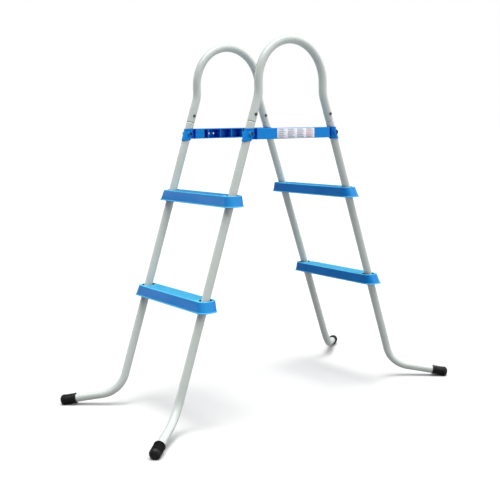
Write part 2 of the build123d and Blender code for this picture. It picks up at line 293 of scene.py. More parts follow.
class ColourDrift(Effect):
    """Slow drift between two close shades, with a finer mottle over it."""

    title = "colour_drift"
    inputs = {"Base": (0.5, 0.5, 0.5, 1.0), "Second": (0.6, 0.6, 0.6, 1.0), "Scale": 8.0, "Mottle": 0.3}
    outputs = {"Colour": "NodeSocketColor", "Drift": "NodeSocketFloat"}
    slow_span: Span = (0.32, 0.68)
    slow_share = 0.7
    fine_span: Span = (0.4, 0.7)
    fineness: Triple = (24.0, 24.0, 24.0)

    def wire(self) -> dict[str, Socket]:
        """Blend the shades with two sizes of noise.

        Returns:
            The drifting colour, and the drift itself.
        """
        slow = self.remap(self.noise(self.position(), self.given["Scale"]), *self.slow_span)
        fine = self.noise(self.stretched(self.fineness), self.given["Scale"], detail=3.0, rough=0.6)
        mottle = self.math("MULTIPLY", self.remap(fine, *self.fine_span), self.given["Mottle"])
        drift = self.math("ADD", self.math("MULTIPLY", slow, self.slow_share), mottle)
        return {"Colour": self.mix(drift, self.given["Base"], self.given["Second"]), "Drift": drift}


class SurfaceGrain(Effect):
    """Fine relief of a skin: rounded cells under a finer tooth."""

    title = "surface_grain"
    inputs = {"Scale": 900.0, "Tooth": 0.35}
    outputs = {"Height": "NodeSocketFloat"}
    tooth_fineness = 2.6

    def wire(self) -> dict[str, Socket]:
        """Share the height between smooth cells and noise.

        Returns:
            The height.
        """
        place = self.position()
        cells = self.add("ShaderNodeTexVoronoi", {"Vector": place, "Scale": self.given["Scale"]},
                         feature="SMOOTH_F1")
        fine = self.math("MULTIPLY", self.given["Scale"], self.tooth_fineness, clamp=False)
        tooth = self.noise(place, fine, detail=3.0, rough=0.6)
        return {"Height": self.mix_values(self.given["Tooth"], cells.outputs["Distance"], tooth)}


class ScuffMarks(Effect):
    """Sparse thin scratches that run two ways, gathered in patches."""

    title = "scuff_marks"
    inputs = {"Scale": 60.0, "Amount": 0.5}
    stretches: tuple[Triple, ...] = ((1.0, 9.0, 1.6), (8.0, 1.3, 9.0))
    line_span: Span = (0.66, 0.74)
    patch_scale = 11.0
    patch_span: Span = (0.48, 0.66)

    def wire(self) -> dict[str, Socket]:
        """Draw lines with stretched noise, where wide noise lets them lie.

        Returns:
            The mask.
        """
        lines = []
        for stretch in self.stretches:
            streak = self.noise(self.stretched(stretch), self.given["Scale"], detail=4.0, rough=0.7)
            lines.append(self.remap(streak, *self.line_span))
        patch = self.remap(self.noise(self.position(), self.patch_scale), *self.patch_span)
        both = self.math("MAXIMUM", *lines)
        return {"Mask": self.math("MULTIPLY", both, patch, self.given["Amount"])}


class EdgeWearAndHighlight(Effect):
    """Rubbed edges and corners, broken up so that they never run evenly; on the plastics it also paints a
    pale edge highlight.
    """

    title = "edge_wear_and_highlight"
    inputs = {"Radius": 0.0012, "Amount": 0.6, "Break Scale": 90.0}
    turn_span: Span = (0.998, 0.90)  # how far a rounded normal agrees with the true one
    break_span: Span = (0.35, 0.6)

    def wire(self) -> dict[str, Socket]:
        """Find edges where a rounded normal turns away from the true one.

        Returns:
            The mask.
        """
        rounded = self.add("ShaderNodeBevel", {"Radius": self.given["Radius"]}, samples=4)
        true = self.add("ShaderNodeNewGeometry")
        edge = self.remap(self.along(rounded.outputs["Normal"], true.outputs["Normal"]), *self.turn_span)
        cloud = self.noise(self.position(), self.given["Break Scale"], detail=3.0)
        broken = self.remap(cloud, *self.break_span)
        return {"Mask": self.math("MULTIPLY", edge, broken, self.given["Amount"])}


class TopDustAndSheen(Effect):
    """What settles or rubs on faces that look up: dust, chalking, foot wear; on the plastics it also paints a
    lighter sheen where the overhead light falls.
    """

    title = "top_dust_and_sheen"
    inputs = {"Amount": 0.5, "Scale": 40.0, "Evenness": 0.6, "Least Rise": 0.55}
    full_rise = 0.97
    cloud_span: Span = (0.3, 0.7)

    def wire(self) -> dict[str, Socket]:
        """Cover a face by its tilt, times a cloudy cover.

        Returns:
            The mask.
        """
        up = self.height(self.add("ShaderNodeNewGeometry").outputs["Normal"])
        facing_up = self.remap(up, self.given["Least Rise"], self.full_rise)
        cloud = self.remap(self.noise(self.position(), self.given["Scale"], detail=4.0), *self.cloud_span)
        cover = self.math("MAXIMUM", cloud, self.given["Evenness"])
        return {"Mask": self.math("MULTIPLY", facing_up, cover, self.given["Amount"])}


class PaintedCreviceShadow(Effect):
    """Painted shade: a darker tone where a piece closes in on itself or on its neighbour, where shade falls.
    """

    title = "crevice_shade"
    inputs = {"Distance": 0.015, "Amount": 0.8}
    open_span: Span = (0.92, 0.4)

    def wire(self) -> dict[str, Socket]:
        """Measure how much of the space near the surface is taken up, which sets how much shade is painted.

        Returns:
            The mask.
        """
        probe = self.add("ShaderNodeAmbientOcclusion", {"Distance": self.given["Distance"]}, samples=8)
        closed = self.remap(probe.outputs["AO"], *self.open_span)
        return {"Mask": self.math("MULTIPLY", closed, self.given["Amount"])}


class GroundSoil(Effect):
    """Splash and dust on whatever stands near the ground."""

    title = "ground_soil"
    inputs = {"Amount": 0.5, "Reach": 0.08}
    spot_scale = 170.0
    spot_span: Span = (0.46, 0.64)

    def wire(self) -> dict[str, Socket]:
        """Fade with height, and break into spots.

        Returns:
            The mask.
        """
        place = self.add("ShaderNodeNewGeometry").outputs["Position"]
        low = self.remap(self.height(place), self.given["Reach"], 0.0)
        spots = self.remap(self.noise(place, self.spot_scale, detail=5.0, rough=0.65), *self.spot_span)
        return {"Mask": self.math("MULTIPLY", low, spots, self.given["Amount"])}


# ---- finishes ----
class Finish:
    """A material of the ladder, made at its first use. Subclasses hold its title and its values."""

    title: str
    shade: Colour
    second_shade: Colour
    roughness: Span

    def material(self) -> bpy.types.Material:
        """The finish as a Blender material.

        Returns:
            The material, made once.
        """
        found = bpy.data.materials.get(self.title)
        if found is not None:
            return found
        surface = Surface(self.title)
        self.wire(surface)
        return surface.material

    def drift(self, on: Surface, scale: float, mottle: float) -> Node:
        """Colour drift between the finish's two shades."""
        return on.use(ColourDrift, base=self.shade, second=self.second_shade, scale=scale, mottle=mottle)

    def roughen(self, on: Surface, dullness: Socket) -> None:
        """Take the roughness from its least to its most as the dullness goes from 0 to 1."""
        on.put("Roughness", on.remap(dullness, 0.0, 1.0, *self.roughness))

    def wire(self, on: Surface) -> None:
        """Wire the finish on a surface."""
        raise NotImplementedError


@dataclass(frozen=True)
class PowderCoat(Finish):
    """Pale grey powder coat on steel: a faint orange peel, soft gloss, hairline scuffs, soil at the feet,
    painted shade where tubes close in at joints and grooves.
    """

    title: str = "pale_powder_coat"
    shade: Colour = (0.545, 0.595, 0.565, 1.0)
    second_shade: Colour = (0.585, 0.630, 0.605, 1.0)
    # near black: painted shade laid where the tubes close in at joints and grooves
    seam_shadow_colour: Colour = (0.10, 0.11, 0.10, 1.0)
    scuff_shade: Colour = (0.36, 0.38, 0.36, 1.0)
    soil_shade: Colour = (0.27, 0.25, 0.21, 1.0)
    roughness: Span = (0.34, 0.52)
    drift_dulling: float = 0.35
    coat: Span = (0.3, 0.02)
    bare_wear: float = 0.7  # the wear that leaves only the least coat
    peel_depth: float = 0.00022

    def wire(self, on: Surface) -> None:
        """Paint drift, then painted shade in crevices and grooves, scuffs and soil, over orange peel.

        Args:
            on: The surface to wire it on.
        """
        paint = self.drift(on, scale=7.0, mottle=0.12)
        scuffs = on.mask(ScuffMarks, scale=70.0, amount=0.5)
        soil = on.mask(GroundSoil, amount=0.4, reach=0.07)
        peel = on.grain(scale=520.0, tooth=0.2)
        # painted shade in crevices and grooves, from how closed in the surface is
        seam_shadow = on.mask(PaintedCreviceShadow, distance=0.004, amount=0.85)
        scuffed = on.mix(scuffs, on.mix(seam_shadow, paint.outputs["Colour"], self.seam_shadow_colour), self.scuff_shade)
        on.put("Base Color", on.mix(soil, scuffed, self.soil_shade))
        worn = on.math("MAXIMUM", scuffs, soil)
        dull = on.math("MAXIMUM", worn, on.math("MULTIPLY", paint.outputs["Drift"], self.drift_dulling))
        self.roughen(on, dull)
        on.put("Coat Weight", on.remap(worn, 0.0, self.bare_wear, *self.coat))
        on.put("Coat Roughness", 0.22)
        on.put("IOR", 1.5)
        on.relief(peel, self.peel_depth, strength=0.4)


@dataclass(frozen=True)
class MouldedPlastic(Finish):
    """Blue moulded polypropylene: fine spark grain, flow shading, pale worn edges with a painted edge
    highlight, chalky upper faces with a painted top-light sheen, painted shade in crevices.
    """

    title: str
    shade: Colour
    second_shade: Colour
    # pale wear colour, which also paints a highlight along edges
    rubbed_and_highlight_colour: Colour
    # chalking colour, which also paints a sheen of the overhead light on upper faces
    chalk_shade: Colour
    # painted shade in crevices
    crevice_shadow_colour: Colour
    chalk: float
    edge_wear_and_highlight: float
    crevice: float
    roughness: Span = (0.33, 0.5)
    flow_stretch: Triple = (16.0, 1.2, 9.0)
    flow_span: Span = (0.35, 0.75)
    grain_depth: float = 0.00012

    def wire(self, on: Surface) -> None:
        """Resin drift, chalking with a painted top-light sheen on upper faces, painted shade in crevices,
        worn edges with a painted highlight, and scuffs, over spark grain.

        Args:
            on: The surface to wire it on.
        """
        resin = self.drift(on, scale=13.0, mottle=0.2)
        # chalking mixed with a painted top-light sheen on faces that look up
        chalk = on.mask(TopDustAndSheen, amount=self.chalk, scale=60.0, evenness=0.82, least_rise=0.12)
        # painted shade where the surface closes in
        crevice_shadow = on.mask(PaintedCreviceShadow, distance=0.018, amount=self.crevice)
        # worn edges mixed with a painted edge highlight
        rubbed_and_lit_edge = on.mask(EdgeWearAndHighlight, radius=0.0014, amount=self.edge_wear_and_highlight, break_scale=70.0)
        scuffs = on.mask(ScuffMarks, scale=110.0, amount=0.4)
        grain = on.grain(scale=1300.0, tooth=0.5)
        flow = on.noise(on.stretched(self.flow_stretch), scale=6.0, detail=3.0, rough=0.55)
        shaded = on.mix(crevice_shadow, on.mix(chalk, resin.outputs["Colour"], self.chalk_shade), self.crevice_shadow_colour)
        pale = on.math("MAXIMUM", rubbed_and_lit_edge, scuffs)
        on.put("Base Color", on.mix(pale, shaded, self.rubbed_and_highlight_colour))
        dull = on.math("MAXIMUM", pale, chalk, on.remap(flow, *self.flow_span))
        self.roughen(on, dull)
        on.put("IOR", 1.49)
        on.put("Specular IOR Level", 0.15)
        on.relief(grain, self.grain_depth, strength=0.45)


@dataclass(frozen=True)
class CapRubber(Finish):
    """Black moulded rubber: matt, greyed on its crests, dusty by the ground."""

    title: str = "black_cap_rubber"
    shade: Colour = (0.004, 0.004, 0.0045, 1.0)
    second_shade: Colour = (0.007, 0.007, 0.0075, 1.0)
    bloom_shade: Colour = (0.045, 0.045, 0.047, 1.0)
    dust_shade: Colour = (0.06, 0.055, 0.048, 1.0)
    roughness: Span = (0.42, 0.6)
    tooth_depth: float = 0.0003

    def wire(self, on: Surface) -> None:
        """Rubber drift, then bloom on the crests, then dust, over a coarse tooth.

        Args:
            on: The surface to wire it on.
        """
        rubber = self.drift(on, scale=45.0, mottle=0.5)
        bloom = on.mask(EdgeWearAndHighlight, radius=0.0016, amount=0.55, break_scale=160.0)
        settled = on.mask(TopDustAndSheen, amount=0.22, scale=150.0, evenness=0.25)
        dust = on.mask(GroundSoil, amount=0.4, reach=0.012)
        tooth = on.grain(scale=1100.0, tooth=0.7)
        greyed = on.mix(on.math("MAXIMUM", bloom, settled), rubber.outputs["Colour"], self.bloom_shade)
        on.put("Base Color", on.mix(dust, greyed, self.dust_shade))
        self.roughen(on, rubber.outputs["Drift"])
        on.put("Specular IOR Level", 0.25)
        on.relief(tooth, self.tooth_depth, strength=0.5)


@dataclass(frozen=True)
class DarkZinc(Finish):
    """Dark passivated steel hardware: olive film, brighter worn corners, pinhead rust."""

    title: str = "dark_zinc_hardware"
    shade: Colour = (0.060, 0.064, 0.054, 1.0)
    second_shade: Colour = (0.115, 0.118, 0.098, 1.0)
    bright_shade: Colour = (0.42, 0.40, 0.37, 1.0)
    rust_shade: Colour = (0.16, 0.055, 0.02, 1.0)
    rust_span: Span = (0.66, 0.74)
    metallic: Span = (0.85, 0.1)
    roughness: Span = (0.32, 0.55)
    grain_depth: float = 0.00006

    def wire(self, on: Surface) -> None:
        """Film drift, then bright corners, then rust specks.

        Args:
            on: The surface to wire it on.
        """
        film = self.drift(on, scale=140.0, mottle=0.6)
        bright = on.mask(EdgeWearAndHighlight, radius=0.0004, amount=0.7, break_scale=500.0)
        grain = on.grain(scale=2600.0, tooth=0.6)
        specks = on.remap(on.noise(on.position(), scale=900.0, detail=4.0, rough=0.7), *self.rust_span)
        worn = on.mix(bright, film.outputs["Colour"], self.bright_shade)
        on.put("Base Color", on.mix(specks, worn, self.rust_shade))
        on.put("Metallic", on.remap(specks, 0.0, 1.0, *self.metallic))
        self.roughen(on, film.outputs["Drift"])
        on.relief(grain, self.grain_depth, strength=0.4)


@dataclass(frozen=True)
class PrintedFilm(Finish):
    """Printed adhesive film: satin, faintly mottled, with a few pressed wrinkles."""

    title: str
    shade: Colour
    second_shade: Colour
    roughness: Span = (0.34, 0.46)
    wrinkle_stretch: Triple = (1.0, 1.0, 2.4)
    tooth_share: float = 0.35
    wrinkle_depth: float = 0.0002

    def wire(self, on: Surface) -> None:
        """Ink drift over a shallow wrinkle and a fine tooth.

        Args:
            on: The surface to wire it on.
        """
        ink = self.drift(on, scale=90.0, mottle=0.4)
        scuffs = on.mask(ScuffMarks, scale=150.0, amount=0.35)
        tooth = on.grain(scale=2400.0, tooth=0.5)
        wrinkle = on.noise(on.stretched(self.wrinkle_stretch), scale=60.0)
        on.put("Base Color", on.mix(scuffs, ink.outputs["Colour"], self.second_shade))
        self.roughen(on, ink.outputs["Drift"])
        on.relief(on.mix_values(self.tooth_share, wrinkle, tooth), self.wrinkle_depth, strength=0.35)


TREAD_BLUE = MouldedPlastic(
    title="tread_blue_plastic",
    shade=(0.001, 0.158, 0.530, 1.0),
    second_shade=(0.005, 0.182, 0.590, 1.0),
    # pale wear, also a painted edge highlight
    rubbed_and_highlight_colour=(0.110, 0.440, 0.740, 1.0),
    # chalking, also a painted top-light sheen
    chalk_shade=(0.095, 0.565, 0.745, 1.0),
    # painted shade in crevices
    crevice_shadow_colour=(0.001, 0.045, 0.300, 1.0),
    chalk=0.95,
    edge_wear_and_highlight=0.16,
    crevice=0.8,
)
BAR_BLUE = MouldedPlastic(
    title="bar_blue_plastic",
    shade=(0.001, 0.225, 0.690, 1.0),
    second_shade=(0.003, 0.250, 0.730, 1.0),
    # pale wear, also a painted edge highlight
    rubbed_and_highlight_colour=(0.090, 0.420, 0.840, 1.0),
    # chalking, also a painted top-light sheen
    chalk_shade=(0.050, 0.340, 0.680, 1.0),
    # painted shade in crevices
    crevice_shadow_colour=(0.0005, 0.032, 0.560, 1.0),
    chalk=0.5,
    edge_wear_and_highlight=0.3,
    crevice=0.95,
)
PAINT = PowderCoat()
RUBBER = CapRubber()
ZINC = DarkZinc()
FILM_BASE = PrintedFilm("label_film_base", (0.80, 0.84, 0.95, 1.0), (0.86, 0.89, 0.97, 1.0))
FILM_PANEL = PrintedFilm("label_panel_pale", (0.68, 0.69, 0.79, 1.0), (0.73, 0.74, 0.83, 1.0))
INK_GREY = PrintedFilm("label_ink_grey", (0.10, 0.10, 0.13, 1.0), (0.16, 0.16, 0.19, 1.0))
INK_RED = PrintedFilm("label_ink_red", (0.66, 0.11, 0.06, 1.0), (0.72, 0.17, 0.09, 1.0))


# ---- making meshes ----
def bridge(mesh: BMesh, loops: list[list[bmesh.types.BMVert]]) -> None:
    """Join closed loops of vertices, in order, with bands of four-sided faces.

    Args:
        mesh: The mesh that holds them.
        loops: The loops, all of the same count.
    """
    for one, other in zip(loops, loops[1:]):
        for i, j in zip(range(len(one)), [*range(1, len(one)), 0]):
            mesh.faces.new((one[i], one[j], other[j], other[i]))


def spun(rows: list[tuple[Extent, Extent]], segments: int, closed: bool = False) -> BMesh:
    """Spin an outline about Z.

    Args:
        rows: Pairs of height and radius, in order along the outline.
        segments: Steps round the axis.
        closed: True to join the last row to the first; otherwise both ends close at the axis.

    Returns:
        The closed mesh.
    """
    mesh = bmesh.new()
    rings = []
    for height, radius in rows:
        ring = []
        for i in range(segments):
            angle = 2 * pi * i / segments
            reach = radius(angle) if callable(radius) else radius
            z = height(angle) if callable(height) else height
            ring.append(mesh.verts.new((reach * cos(angle), reach * sin(angle), z)))
        rings.append(ring)
    bridge(mesh, rings + rings[:1] if closed else rings)
    if not closed:
        for ring in (rings[0], rings[-1]):
            middle = sum((v.co for v in ring), Vector()) / segments
            pole = mesh.verts.new(middle)
            for i in range(segments):
                mesh.faces.new((ring[i], ring[(i + 1) % segments], pole))
    bmesh.ops.recalc_face_normals(mesh, faces=mesh.faces)
    return mesh


def rounded_outline(width: float, height: float, corner: float, steps: int = 5) -> list[tuple[float, float]]:
    """Corner points of a rounded rectangle about the origin.

    Args:
        width: Size along the first axis.
        height: Size along the second axis.
        corner: Corner radius.
        steps: Points on each corner, less one.

    Returns:
        The points, in order.
    """
    corner = min(corner, width / 2, height / 2)
    points = []
    for quarter, (sx, sy) in enumerate(((1, 1), (-1, 1), (-1, -1), (1, -1))):
        for k in range(steps + 1):
            angle = (quarter + k / steps) * pi / 2
            points.append((sx * (width / 2 - corner) + corner * cos(angle),
                           sy * (height / 2 - corner) + corner * sin(angle)))
    return points


def add_plate(mesh: BMesh, middle: Vector, size: tuple[float, float], thick: float,
              corner: float) -> None:
    """Add a thin rounded plate that faces -Y, with a softened front edge.

    Args:
        mesh: The mesh to add it to.
        middle: Middle of its back face.
        size: Width along X and height along Z.
        thick: Thickness towards -Y.
        corner: Corner radius.
    """
    soft = thick * SOFT_SHARE
    loops = []
    for inset, depth in ((0.0, 0.0), (0.0, thick - soft), (soft, thick)):
        outline = rounded_outline(size[0] - 2 * inset, size[1] - 2 * inset, corner)
        loops.append([mesh.verts.new(middle + Vector((u, -depth, v))) for u, v in outline])
    bridge(mesh, loops)
    mesh.faces.new(loops[0])
    mesh.faces.new(loops[-1])


def add_piece(name: str, mesh: BMesh, finish: Finish, stands_for: str,
              place: Matrix = Matrix.Identity(4)) -> bpy.types.Object:
    """Turn a mesh into a shown piece: placed, smoothed, dressed and tied to the ladder's body.

    Args:
        name: The piece's name.
        mesh: Its mesh, which is used up.
        finish: Its finish.
        stands_for: The CAD node it is shown in place of.
        place: Where it goes.

    Returns:
        The new object.
    """
    bmesh.ops.transform(mesh, matrix=place, verts=mesh.verts)
    bmesh.ops.recalc_face_normals(mesh, faces=mesh.faces)
    data = bpy.data.meshes.new(name)
    mesh.to_mesh(data)
    mesh.free()
    data.shade_smooth()
    data.set_sharp_from_angle(angle=SHARP_ANGLE)
    data.materials.append(finish.material())
    piece = bpy.data.objects.new(name, data)
    bpy.context.scene.collection.objects.link(piece)
    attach(piece, "root")
    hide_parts(stands_for)
    log.info("built %s: %d faces", name, len(data.polygons))
    return piece


def dress(node: str, finish: Finish) -> None:
    """Give a CAD node its finish.

    Args:
        node: The node's name.
        finish: Its finish.
    """
    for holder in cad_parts[node].material_slots:
        holder.material = finish.material()
    log.info("dressed %s in %s", node, finish.title)


def solids(node: str) -> list[tuple[Vector, Vector]]:
    """Boxes of the separate solids in a CAD node.

    Args:
        node: The node's name.

    Returns:
        Lowest and highest corner of each solid, in order of place.
    """
    mesh = bmesh.new()
    mesh.from_mesh(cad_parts[node].data)
    bmesh.ops.remove_doubles(mesh, verts=mesh.verts, dist=WELD)
    left = set(mesh.verts)
    boxes = []
    while left:
        reached, group = [left.pop()], []
        while reached:
            vertex = reached.pop()
            group.append(tuple(vertex.co))
            for edge in vertex.link_edges:
                other = edge.other_vert(vertex)
                if other in left:
                    left.discard(other)
                    reached.append(other)
        axes = list(zip(*group))
        boxes.append((Vector([min(axis) for axis in axes]), Vector([max(axis) for axis in axes])))
    mesh.free()
    return sorted(boxes, key=lambda box: tuple(round(value, ORDER_DIGITS) for value in box[0]))


def facing(origin: Vector, outward: Vector, turn: float = 0.0) -> Matrix:
    """Place that moves the local origin to a point and aims local Z outward, with a turn about it."""
    turned = outward.to_track_quat("Z", "Y").to_matrix().to_4x4()
    return Matrix.Translation(origin) @ turned @ Matrix.Rotation(turn, 4, "Z")


def sign(value: float) -> int:
    """1 above zero, otherwise -1."""
    return 1 if value > 0 else -1


def corner_word(point: Vector) -> str:
    """Side and flight of a point, for a piece's name."""
    return f"{Side(sign(point.y)).word}_{Flight(sign(point.x)).word}"


# ---- sub-assemblies ----
@dataclass(frozen=True)
class TubeFrame:
    """Two handrail hoops and four legs of one inch steel tube."""

    paint: Finish = PAINT

    def build(self) -> None:
        """Paint every tube."""
        for side in Side:
            dress(f"handrail_{side.word}", self.paint)
            for flight in Flight:
                dress(f"leg_{side.word}_{flight.word}", self.paint)


@dataclass(frozen=True)
class Mouldings:
    """Two side bars and four treads of blue plastic."""

    bar_plastic: Finish = BAR_BLUE
    tread_plastic: Finish = TREAD_BLUE

    def build(self) -> None:
        """Dress the bars and the treads."""
        for side in Side:
            dress(f"side_bar_{side.word}", self.bar_plastic)
        for level in Level:
            for flight in Flight:
                dress(f"tread_{level.word}_{flight.word}", self.tread_plastic)


@dataclass(frozen=True)
class FootCaps:
    """Four ribbed rubber caps on the splayed ends of the legs, pressed flat where they stand."""

    length: float = 52 * MM
    end_thick: float = 5 * MM
    body_r: float = 13.5 * MM
    ring_r: float = 16.9 * MM
    mouth_r: float = 17.5 * MM
    bore_r: float = 12.75 * MM
    nose_r: float = 12.0 * MM
    nose_root: float = 39.9 * MM
    ring_count: int = 7
    ring_pitch: float = 5.85 * MM
    ring_foot: float = 3.0 * MM
    crest_share: float = 0.4
    row_step: float = 0.3 * MM
    lip: float = 0.3 * MM
    rim_depth: float = 0.1 * MM
    gate_floor_r: float = 0.9 * MM
    gate_rim_r: float = 1.5 * MM
    mark_r: float = 3.5 * MM
    mark_depth: float = 0.45 * MM
    nose_steps: int = 10
    segments: int = 96
    foot_turn: float = radians(41)
    foot_slope: float = radians(9)
    rubber: Finish = RUBBER

    def wall_r(self, depth: float) -> float:
        """Outer radius of the ribbed wall.

        Args:
            depth: Distance from the mouth.

        Returns:
            The radius there.
        """
        radius = self.body_r
        for i in range(self.ring_count):
            crest = self.mouth_r if i == 0 else self.ring_r
            middle = self.ring_foot / 2 + i * self.ring_pitch
            away = abs(depth - middle) / (self.ring_foot / 2)
            fall = min(1.0, max(0.0, (away - self.crest_share) / (1 - self.crest_share)))
            radius = max(radius, self.body_r + (crest - self.body_r) * (1 - fall * fall * (3 - 2 * fall)))
        return radius

    def rows(self) -> list[tuple[float, float]]:
        """The outline, from the gate mark on the nose, back along the wall, and in through the mouth.

        Returns:
            Pairs of depth from the mouth and radius.
        """
        tip, mark = self.length, self.mark_depth
        rows = [(tip - mark, self.gate_floor_r), (tip, self.gate_rim_r), (tip, self.mark_r - mark),
                (tip - mark, self.mark_r), (tip - mark, self.mark_r + mark), (tip, self.mark_r + 2 * mark)]
        for k in range(self.nose_steps + 1):
            angle = k / self.nose_steps * pi / 2
            rows.append((tip - self.nose_r * (1 - cos(angle)),
                         self.ring_r - self.nose_r * (1 - sin(angle))))
        rows.append((self.nose_root, self.ring_r))
        depth = self.nose_root - self.row_step
        while depth > 0:
            rows.append((depth, self.wall_r(depth)))
            depth -= self.row_step
        rows += [(0.0, self.body_r - self.lip), (0.0, self.bore_r + self.lip), (self.lip, self.bore_r)]
        return rows + [(self.length - self.end_thick, self.bore_r)]

    def leg_end(self, node: str, direction: Vector) -> Vector:
        """Middle of a leg's end, inside its cap.

        Args:
            node: The leg's name.
            direction: Where the foot points.

        Returns:
            The middle of the tube's end face.
        """
        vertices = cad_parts[node].data.vertices
        places = sorted({tuple(round(value, PLACE_DIGITS) for value in vertex.co) for vertex in vertices})
        reach = max(Vector(place).dot(direction) for place in places)
        rim = [Vector(place) for place in places if reach - Vector(place).dot(direction) < self.rim_depth]
        return sum(rim, Vector()) / len(rim)

    def build(self) -> None:
        """Build the four caps, each in its own place."""
        for side in Side:
            for flight in Flight:
                corner = f"{side.word}_{flight.word}"
                direction = Vector((flight.value * cos(self.foot_turn) * cos(self.foot_slope),
                                    side.value * sin(self.foot_turn) * cos(self.foot_slope),
                                    -sin(self.foot_slope)))
                tip = self.leg_end(f"leg_{corner}", direction) + direction * self.end_thick
                mesh = spun(self.rows(), self.segments)
                place = facing(tip - direction * self.length, direction)
                bmesh.ops.transform(mesh, matrix=place, verts=mesh.verts)
                for vertex in mesh.verts:
                    vertex.co.z = max(vertex.co.z, 0.0)
                add_piece(f"rubber_cap_{corner}", mesh, self.rubber, f"foot_cap_{corner}")


@dataclass(frozen=True)
class Hardware:
    """Hexagon bolts, nuts and washers through the tubes, and cross-head screws through the treads."""

    flats: float = 8 * MM
    head_thick: float = 3.0 * MM
    nut_thick: float = 2.7 * MM
    shank_r: float = 2.5 * MM
    root_r: float = 2.15 * MM
    thread_pitch: float = 0.8 * MM
    thread_run: float = 6 * MM
    root_share: float = 0.5
    crest_share: float = 0.9
    washer_hole_r: float = 2.7 * MM
    washer_edge: float = 0.15 * MM
    chamfer_share: float = 0.93
    chamfer_slope: float = radians(30)
    chamfer_steps: tuple[float, ...] = (0.0, 0.18, 0.36, 0.54, 0.76, 1.0)
    dish_depth: float = 0.15 * MM
    dish_shares: Span = (0.45, 0.6)
    tip_length: float = 0.5 * MM
    tip_share: float = 0.8
    lead: float = 0.4 * MM
    nut_turn: float = radians(17)
    screw_head_r: float = 2.6 * MM
    screw_head: float = 1.8 * MM
    screw_r: float = 1.7 * MM
    cross_half: float = 0.4 * MM
    cross_reach: float = 1.7 * MM
    cross_depth: float = 0.9 * MM
    cross_rise: float = 0.75
    rim_share: float = 0.35
    pole_share: float = 0.04
    dome_rings: int = 18
    screw_tip_share: float = 0.2
    seed: int = 7
    segments: int = 48
    metal: Finish = ZINC

    def hexagon(self, angle: float) -> float:
        """Distance from the middle of a hexagon to its side, at an angle."""
        return self.flats / 2 / cos(angle % (pi / 3) - pi / 6)

    def chamfer(self, top: float, down: int) -> list[tuple[float, Extent]]:
        """Rows of a hexagon whose corners are turned off, from its face to its full section.

        Args:
            top: Height of the face.
            down: -1 where the hexagon lies below the face, 1 where above.

        Returns:
            The rows, starting at the face.
        """
        face_r = self.chamfer_share * self.flats / 2
        full = (self.flats / sqrt(3) - face_r) * tan(self.chamfer_slope)
        rows = []
        for share in self.chamfer_steps:
            cone = face_r + full * share / tan(self.chamfer_slope)
            rows.append((top + down * full * share, lambda angle, cone=cone: min(self.hexagon(angle), cone)))
        return rows

    def bolt(self, length: float) -> BMesh:
        """Hexagon bolt, its head above the origin.

        Args:
            length: From the top of the head to the tip.

        Returns:
            The mesh.
        """
        tip = self.head_thick - length
        floor_r, rim_r = (share * self.flats / 2 for share in self.dish_shares)
        rows = [(self.head_thick - self.dish_depth, floor_r), (self.head_thick, rim_r)]
        rows += self.chamfer(self.head_thick, -1)
        rows += [(0.0, self.hexagon), (0.0, self.shank_r), (tip + self.thread_run, self.shank_r)]
        turns = int(self.thread_run / self.thread_pitch) - 1
        for i in range(turns):
            start = tip + self.thread_run - i * self.thread_pitch
            rows.append((start - self.root_share * self.thread_pitch, self.root_r))
            rows.append((start - self.crest_share * self.thread_pitch, self.shank_r))
        rows += [(tip + self.tip_length, self.root_r), (tip, self.tip_share * self.root_r)]
        return spun(rows, self.segments)

    def nut(self) -> BMesh:
        """Hexagon nut above the origin, chamfered on both faces.

        Returns:
            The mesh.
        """
        mouth_r = self.shank_r + self.lead
        rows = [(self.lead, self.shank_r), (0.0, mouth_r)] + self.chamfer(0.0, 1)
        rows += reversed(self.chamfer(self.nut_thick, -1))
        rows += [(self.nut_thick, mouth_r), (self.nut_thick - self.lead, self.shank_r)]
        return spun(rows, self.segments, closed=True)

    def washer(self, radius: float, thick: float) -> BMesh:
        """Washer about the origin with softened edges.

        Args:
            radius: Its outer radius.
            thick: Its thickness.

        Returns:
            The mesh.
        """
        edge, half = self.washer_edge, thick / 2
        rows = [(-half, self.washer_hole_r), (-half, radius - edge), (edge - half, radius),
                (half - edge, radius), (half, radius - edge), (half, self.washer_hole_r)]
        return spun(rows, self.segments, closed=True)

    def dome(self, radius: float, angle: float) -> float:
        """Height of the screw's domed head, with its cross recess.

        Args:
            radius: Distance from the axis.
            angle: Angle about the axis.

        Returns:
            The height above the seat.
        """
        share = radius / self.screw_head_r
        height = self.screw_head * (self.rim_share + (1 - self.rim_share) * sqrt(max(0.0, 1 - share ** 3)))
        along = radius * max(abs(cos(angle)), abs(sin(angle)))
        across = radius * min(abs(cos(angle)), abs(sin(angle)))
        if across < self.cross_half and along < self.cross_reach:
            height -= self.cross_depth * (1 - self.cross_rise * along / self.cross_reach)
        return height

    def screw(self, length: float) -> BMesh:
        """Cross-head screw, its head above the origin.

        Args:
            length: From the top of the head to the tip.

        Returns:
            The mesh.
        """
        rows: list[tuple[Extent, Extent]] = []
        for i in range(self.dome_rings + 1):
            radius = self.screw_head_r * (self.pole_share + (1 - self.pole_share) * i / self.dome_rings)
            rows.append((lambda angle, radius=radius: self.dome(radius, angle), radius))
        tip = self.screw_head - length
        rows += [(0.0, self.screw_head_r), (0.0, self.screw_r), (tip + self.screw_r, self.screw_r)]
        return spun(rows + [(tip, self.screw_tip_share * self.screw_r)], 2 * self.segments)

    def add(self, name: str, mesh: BMesh, group: str, place: Matrix) -> None:
        """Add one fastener, shown in place of its solid in the CAD node of its group."""
        add_piece(name, mesh, self.metal, group, place)

